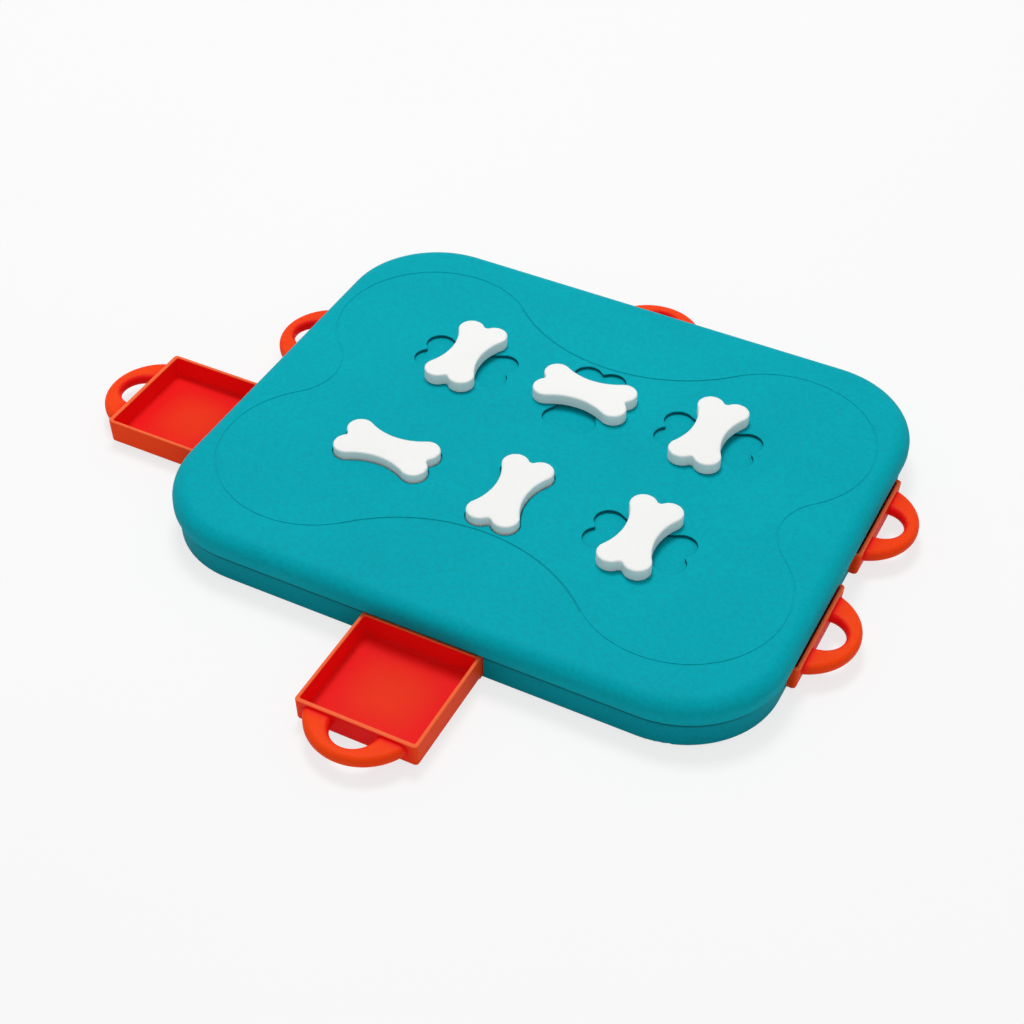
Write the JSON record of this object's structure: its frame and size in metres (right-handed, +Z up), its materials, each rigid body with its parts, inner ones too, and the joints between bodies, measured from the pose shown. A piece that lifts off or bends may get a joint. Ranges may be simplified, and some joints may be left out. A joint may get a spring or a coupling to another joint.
{
  "type": "puzzle feeder board",
  "caption": "Flat rounded pet puzzle board with treat drawers that slide out of its sides by loop handles, and bone-shaped knobs on top that turn to lock them.",
  "frame": {"origin": "centre of the board on the floor, under its middle foot", "axes": "+X along the board's long side, +Y to its back, +Z up"},
  "size_m": [0.4686, 0.4136, 0.04],
  "materials": {
    "teal_shell": "fine matte grain",
    "orange_drawer": "satin",
    "white_bone": "satin",
    "lock_plastic": "as moulded",
    "screw_steel": "zinc plated",
    "foot_rubber": "matte"
  },
  "bodies": {
    "board": {"base_tray": "teal_shell", "top_lid": "teal_shell", "rubber_feet": "foot_rubber", "case_screws": "screw_steel"},
    "drawer_front": {"drawer_front": "orange_drawer"},
    "lock_front": {"bone_front": "white_bone", "lock_cam_front": "lock_plastic", "lock_screw_front": "screw_steel"},
    "drawer_back": {"drawer_back": "orange_drawer"},
    "lock_back": {"bone_back": "white_bone", "lock_cam_back": "lock_plastic", "lock_screw_back": "screw_steel"},
    "drawer_left_front": {"drawer_left_front": "orange_drawer"},
    "lock_left_front": {"bone_left_front": "white_bone", "lock_cam_left_front": "lock_plastic", "lock_screw_left_front": "screw_steel"},
    "drawer_left_back": {"drawer_left_back": "orange_drawer"},
    "lock_left_back": {"bone_left_back": "white_bone", "lock_cam_left_back": "lock_plastic", "lock_screw_left_back": "screw_steel"},
    "drawer_right_front": {"drawer_right_front": "orange_drawer"},
    "lock_right_front": {"bone_right_front": "white_bone", "lock_cam_right_front": "lock_plastic", "lock_screw_right_front": "screw_steel"},
    "drawer_right_back": {"drawer_right_back": "orange_drawer"},
    "lock_right_back": {"bone_right_back": "white_bone", "lock_cam_right_back": "lock_plastic", "lock_screw_right_back": "screw_steel"}
  },
  "joints": [
    {"name": "slide_drawer_front", "type": "slide", "parent": "board", "child": "drawer_front", "axis": [0, -1, 0], "range_m": [-0.0645, 0.0015]},
    {"name": "lift_bone_front", "type": "slide", "parent": "board", "child": "lock_front", "axis": [0, 0, 1], "range_m": [0, 0.0029]},
    {"name": "slide_drawer_back", "type": "slide", "parent": "board", "child": "drawer_back", "axis": [0, 1, 0], "range_m": [-0.0025, 0.0635]},
    {"name": "turn_bone_back", "type": "hinge", "parent": "board", "child": "lock_back", "pos_m": [0, 0.0474, 0.0325], "axis": [0, 0, 1], "range_deg": [-90, 90]},
    {"name": "slide_drawer_left_front", "type": "slide", "parent": "board", "child": "drawer_left_front", "axis": [-1, 0, 0], "range_m": [-0.062, 0.004]},
    {"name": "lift_bone_left_front", "type": "slide", "parent": "board", "child": "lock_left_front", "axis": [0, 0, 1], "range_m": [0, 0.0029]},
    {"name": "slide_drawer_left_back", "type": "slide", "parent": "board", "child": "drawer_left_back", "axis": [-1, 0, 0], "range_m": [0, 0.066]},
    {"name": "turn_bone_left_back", "type": "hinge", "parent": "board", "child": "lock_left_back", "pos_m": [-0.0774, 0.0474, 0.0325], "axis": [0, 0, 1], "range_deg": [-90, 90]},
    {"name": "slide_drawer_right_front", "type": "slide", "parent": "board", "child": "drawer_right_front", "axis": [1, 0, 0], "range_m": [0, 0.066]},
    {"name": "turn_bone_right_front", "type": "hinge", "parent": "board", "child": "lock_right_front", "pos_m": [0.0774, -0.0474, 0.0325], "axis": [0, 0, 1], "range_deg": [-90, 90]},
    {"name": "slide_drawer_right_back", "type": "slide", "parent": "board", "child": "drawer_right_back", "axis": [1, 0, 0], "range_m": [0, 0.066]},
    {"name": "turn_bone_right_back", "type": "hinge", "parent": "board", "child": "lock_right_back", "pos_m": [0.0774, 0.0474, 0.0325], "axis": [0, 0, 1], "range_deg": [-90, 90]}
  ]
}
